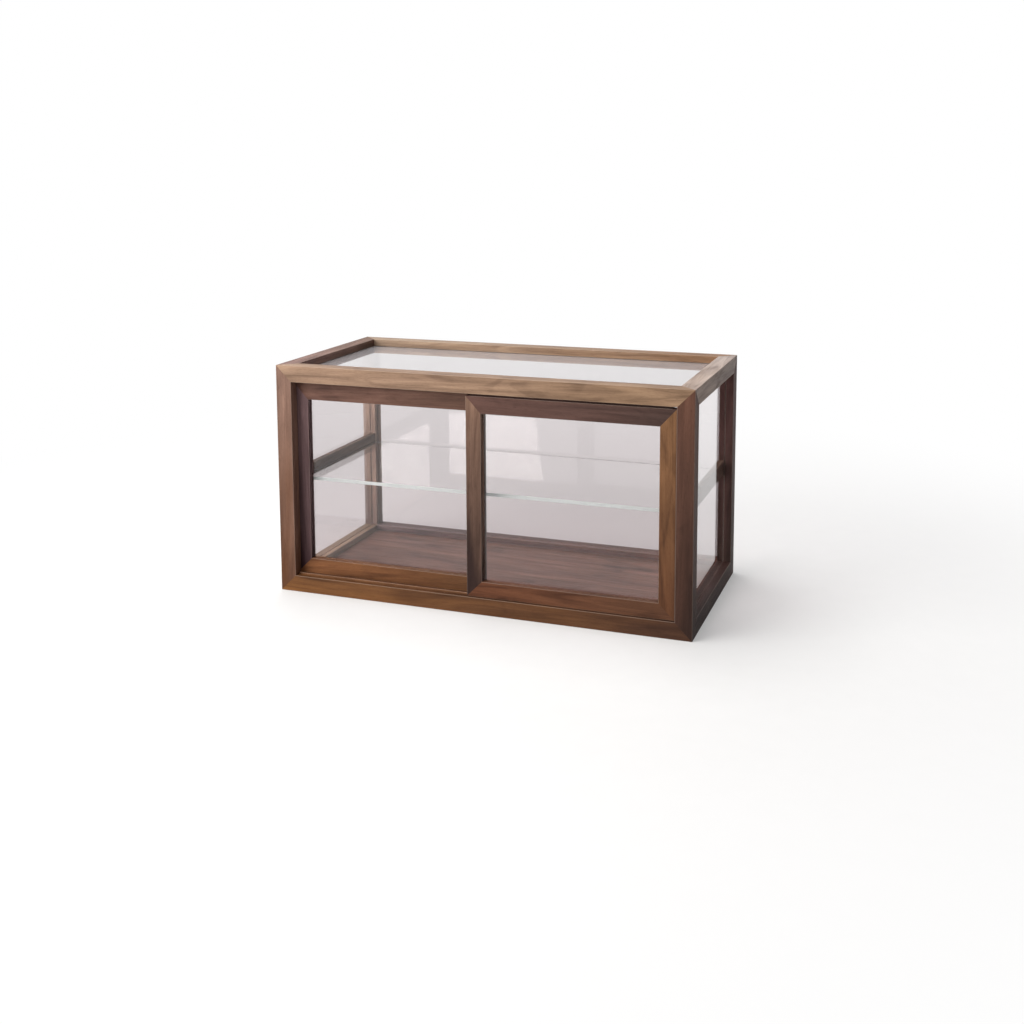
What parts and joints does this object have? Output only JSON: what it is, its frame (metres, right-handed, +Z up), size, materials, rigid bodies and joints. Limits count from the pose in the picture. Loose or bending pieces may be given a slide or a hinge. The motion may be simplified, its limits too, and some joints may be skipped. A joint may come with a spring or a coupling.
{
  "type": "wall mounted showcase",
  "caption": "Shallow rectangular display case: mitred wooden frame glazed on every side, glass shelf, and framed glass doors that slide past each other at the front.",
  "frame": {"origin": "centre of the base, on the plane the case stands on", "axes": "+X to the right seen from the front, +Y to the back glass, +Z up"},
  "size_m": [0.51, 0.25, 0.28],
  "materials": {
    "case_wood": "walnut brown, thin satin lacquer",
    "door_wood": "darker walnut brown, thin satin lacquer",
    "board_wood": "greyish brown, thin satin lacquer",
    "pin_wood": "bare pale hardwood",
    "clear_glass": "clear, polished",
    "shelf_glass": "clear with a pale aqua edge, polished",
    "hanger_steel": "zinc plated"
  },
  "bodies": {
    "case": {"front_top_rail": "case_wood", "front_bottom_rail": "case_wood", "back_top_rail": "case_wood", "back_bottom_rail": "case_wood", "left_top_rail": "case_wood", "left_bottom_rail": "case_wood", "right_top_rail": "case_wood", "right_bottom_rail": "case_wood", "front_left_post": "case_wood", "front_right_post": "case_wood", "back_left_post": "case_wood", "back_right_post": "case_wood", "front_left_top_dowel": "pin_wood", "front_left_bottom_dowel": "pin_wood", "front_right_top_dowel": "pin_wood", "front_right_bottom_dowel": "pin_wood", "back_left_top_dowel": "pin_wood", "back_left_bottom_dowel": "pin_wood", "back_right_top_dowel": "pin_wood", "back_right_bottom_dowel": "pin_wood", "left_hanger_plate": "hanger_steel", "left_hanger_screw_1": "hanger_steel", "left_hanger_screw_2": "hanger_steel", "right_hanger_plate": "hanger_steel", "right_hanger_screw_1": "hanger_steel", "right_hanger_screw_2": "hanger_steel", "top_pane": "clear_glass", "back_pane": "clear_glass", "left_pane": "clear_glass", "right_pane": "clear_glass", "floor_board": "board_wood", "head_strip": "case_wood", "sill_strip": "case_wood", "front_runner": "door_wood", "rear_runner": "door_wood", "shelf": "shelf_glass", "left_shelf_bar": "case_wood", "right_shelf_bar": "case_wood"},
    "left_door": {"left_door_foot_rail": "door_wood", "left_door_right_stile": "door_wood", "left_door_head_rail": "door_wood", "left_door_left_stile": "door_wood", "left_door_pane": "clear_glass", "left_door_key_foot_left": "pin_wood", "left_door_key_foot_right": "pin_wood", "left_door_key_head_right": "pin_wood", "left_door_key_head_left": "pin_wood"},
    "right_door": {"right_door_foot_rail": "door_wood", "right_door_right_stile": "door_wood", "right_door_head_rail": "door_wood", "right_door_left_stile": "door_wood", "right_door_pane": "clear_glass", "right_door_key_foot_left": "pin_wood", "right_door_key_foot_right": "pin_wood", "right_door_key_head_right": "pin_wood", "right_door_key_head_left": "pin_wood"}
  },
  "joints": [
    {"name": "left_door_slide", "type": "slide", "parent": "case", "child": "left_door", "axis": [1, 0, 0], "range_m": [0, 0.2325]},
    {"name": "right_door_slide", "type": "slide", "parent": "case", "child": "right_door", "axis": [1, 0, 0], "range_m": [-0.224, 0]}
  ]
}
